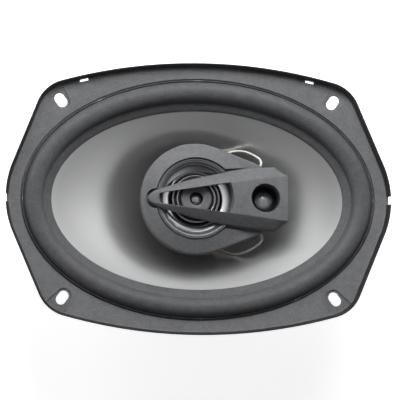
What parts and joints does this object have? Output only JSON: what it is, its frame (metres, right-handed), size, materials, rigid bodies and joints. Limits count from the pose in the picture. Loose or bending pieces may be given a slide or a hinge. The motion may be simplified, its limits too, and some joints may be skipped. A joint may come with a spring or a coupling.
{
  "type": "coaxial car speaker",
  "caption": "Oval coaxial car speaker: woofer cone on a pressed basket, with a mid-range disc and a spearhead bridge that carries the tweeters.",
  "frame": {"origin": "bottom centre of the magnet's back plate, on the woofer's axis", "axes": "+Z along the woofer's axis towards the listener, +X along the oval's long side towards the super tweeter, +Y along its short side"},
  "size_m": [0.2366, 0.167, 0.0928],
  "materials": {
    "basket_paint": "satin grey powder coat with a dark, nearly black flared lip",
    "plated_steel": "zinc plated, lightly turned",
    "ferrite": "matte sintered ferrite",
    "cone_film": "glossy silver polypropylene",
    "surround_rubber": "satin dark grey butyl rubber",
    "spider_cloth": "woven, resin stiffened",
    "black_cloth": "matte black felt",
    "former_film": "amber polyimide film",
    "copper_wire": "enamelled copper winding",
    "unit_plastic": "fine textured grey plastic",
    "black_plastic": "satin black plastic",
    "bright_metal": "polished",
    "dome_metal": "bright formed foil",
    "neodymium": "nickel plated",
    "fibre_board": "pressed fibre board",
    "brass_lug": "bright stamped",
    "tinsel_braid": "tinned copper braid",
    "capacitor_sleeve": "blue sleeve"
  },
  "bodies": {
    "frame": {"basket": "basket_paint", "basket_rivet_1": "plated_steel", "basket_rivet_2": "plated_steel", "basket_rivet_3": "plated_steel", "basket_rivet_4": "plated_steel", "top_plate": "plated_steel", "magnet": "ferrite", "t_yoke": "plated_steel", "surround": "surround_rubber", "spider": "spider_cloth", "terminal_board": "fibre_board", "terminal_negative": "plated_steel", "terminal_positive": "plated_steel", "board_rivet_1": "plated_steel", "board_rivet_2": "plated_steel", "rear_lead_positive": "tinsel_braid", "rear_lead_negative": "tinsel_braid", "center_post": "black_plastic", "post_bolt": "plated_steel", "post_nut": "plated_steel", "mid_rear_cover": "black_plastic", "mid_baffle": "unit_plastic", "mid_surround": "surround_rubber", "mid_trim_ring": "unit_plastic", "mid_yoke": "plated_steel", "mid_magnet": "ferrite", "mid_top_plate": "plated_steel", "mid_capacitor": "capacitor_sleeve", "tweeter_capacitor": "capacitor_sleeve", "tweeter_body": "black_plastic", "tweeter_trim_outer": "bright_metal", "tweeter_trim_inner": "bright_metal", "tweeter_face": "unit_plastic", "tweeter_yoke": "plated_steel", "tweeter_magnet": "neodymium", "tweeter_suspension": "black_cloth", "bridge": "unit_plastic", "bridge_screw_1": "plated_steel", "bridge_screw_2": "plated_steel", "super_tweeter_body": "black_plastic", "super_tweeter_magnet": "neodymium", "super_tweeter_suspension": "black_cloth", "super_tweeter_ring": "black_plastic", "mid_lug_upper": "brass_lug", "front_lead_upper": "tinsel_braid", "mid_lug_lower": "brass_lug", "front_lead_lower": "tinsel_braid"},
    "woofer": {"woofer_cone": "cone_film", "dust_ring": "black_cloth", "voice_coil_former": "former_film", "voice_coil_winding": "copper_wire", "cone_eyelet_upper": "brass_lug", "cone_eyelet_lower": "brass_lug"},
    "mid_driver": {"mid_cone": "dome_metal", "mid_voice_coil": "copper_wire"},
    "tweeter_diaphragm": {"tweeter_dome": "dome_metal"},
    "super_tweeter_diaphragm": {"super_tweeter_dome": "dome_metal"}
  },
  "joints": [
    {"name": "cone_travel", "type": "slide", "parent": "frame", "child": "woofer", "axis": [0, 0, 1], "range_m": [-0.005, 0.005], "stiffness_N_per_m": 1600, "deforming": ["surround", "spider", "rear_lead_positive", "rear_lead_negative", "front_lead_upper", "front_lead_lower"]},
    {"name": "mid_travel", "type": "slide", "parent": "frame", "child": "mid_driver", "axis": [0, 0, 1], "range_m": [-0.0005, 0.0005], "stiffness_N_per_m": 1500, "deforming": ["mid_surround"]},
    {"name": "tweeter_travel", "type": "slide", "parent": "frame", "child": "tweeter_diaphragm", "axis": [0, 0, 1], "range_m": [-0.00025, 0.00025], "stiffness_N_per_m": 1200, "deforming": ["tweeter_suspension"]},
    {"name": "super_tweeter_travel", "type": "slide", "parent": "frame", "child": "super_tweeter_diaphragm", "axis": [0, 0, 1], "range_m": [-0.0002, 0.0002], "stiffness_N_per_m": 1200, "deforming": ["super_tweeter_suspension"]}
  ]
}
